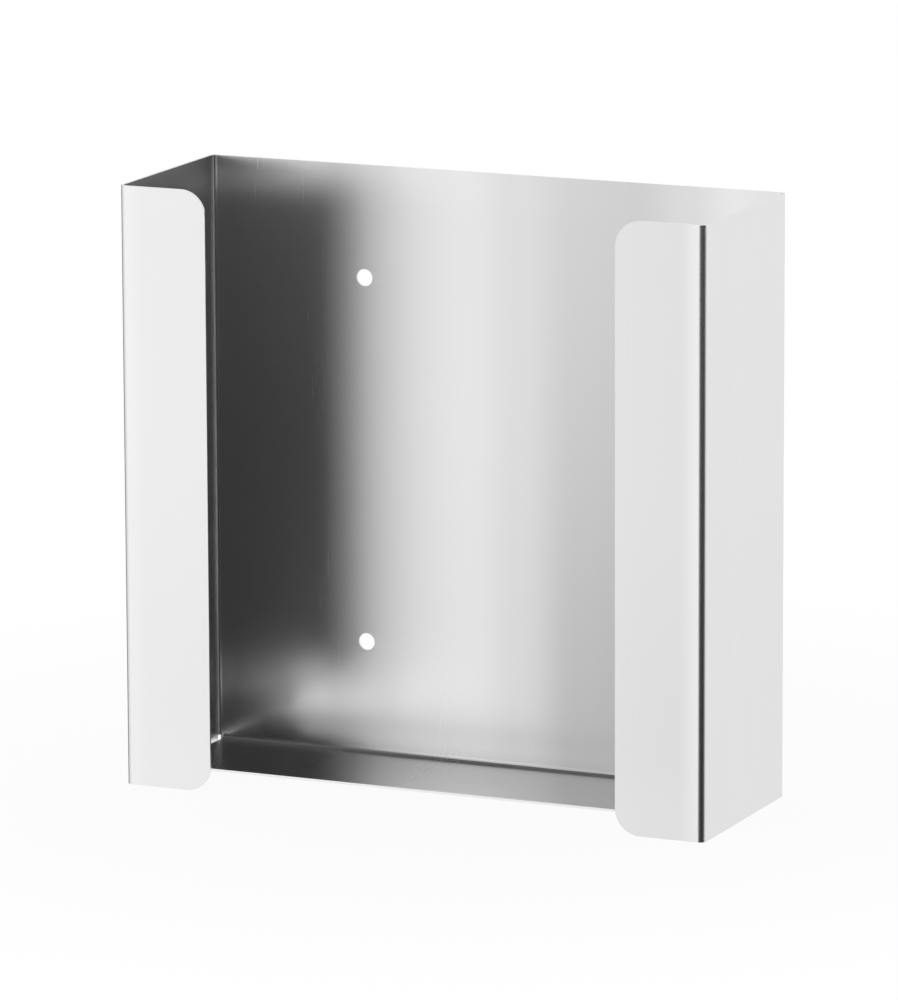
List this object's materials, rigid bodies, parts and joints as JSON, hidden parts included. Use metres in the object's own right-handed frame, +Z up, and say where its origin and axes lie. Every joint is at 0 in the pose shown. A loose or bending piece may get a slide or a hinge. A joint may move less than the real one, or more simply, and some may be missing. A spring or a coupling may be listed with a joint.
{
  "type": "disposable glove dispenser",
  "caption": "Open-fronted wall holder folded from brushed steel sheet, with inward front lips and a short bottom shelf that hold boxes of disposable gloves.",
  "frame": {"origin": "centre of the four wall screw holes, on the back's wall face", "axes": "+X along the width, +Y out of the back into the wall, +Z up; the open front faces -Y"},
  "size_m": [0.25, 0.085, 0.243],
  "materials": {
    "brushed_sheet": "fine vertical brushing, satin"
  },
  "bodies": {
    "root": {"folded_holder": "brushed_sheet"}
  },
  "joints": []
}
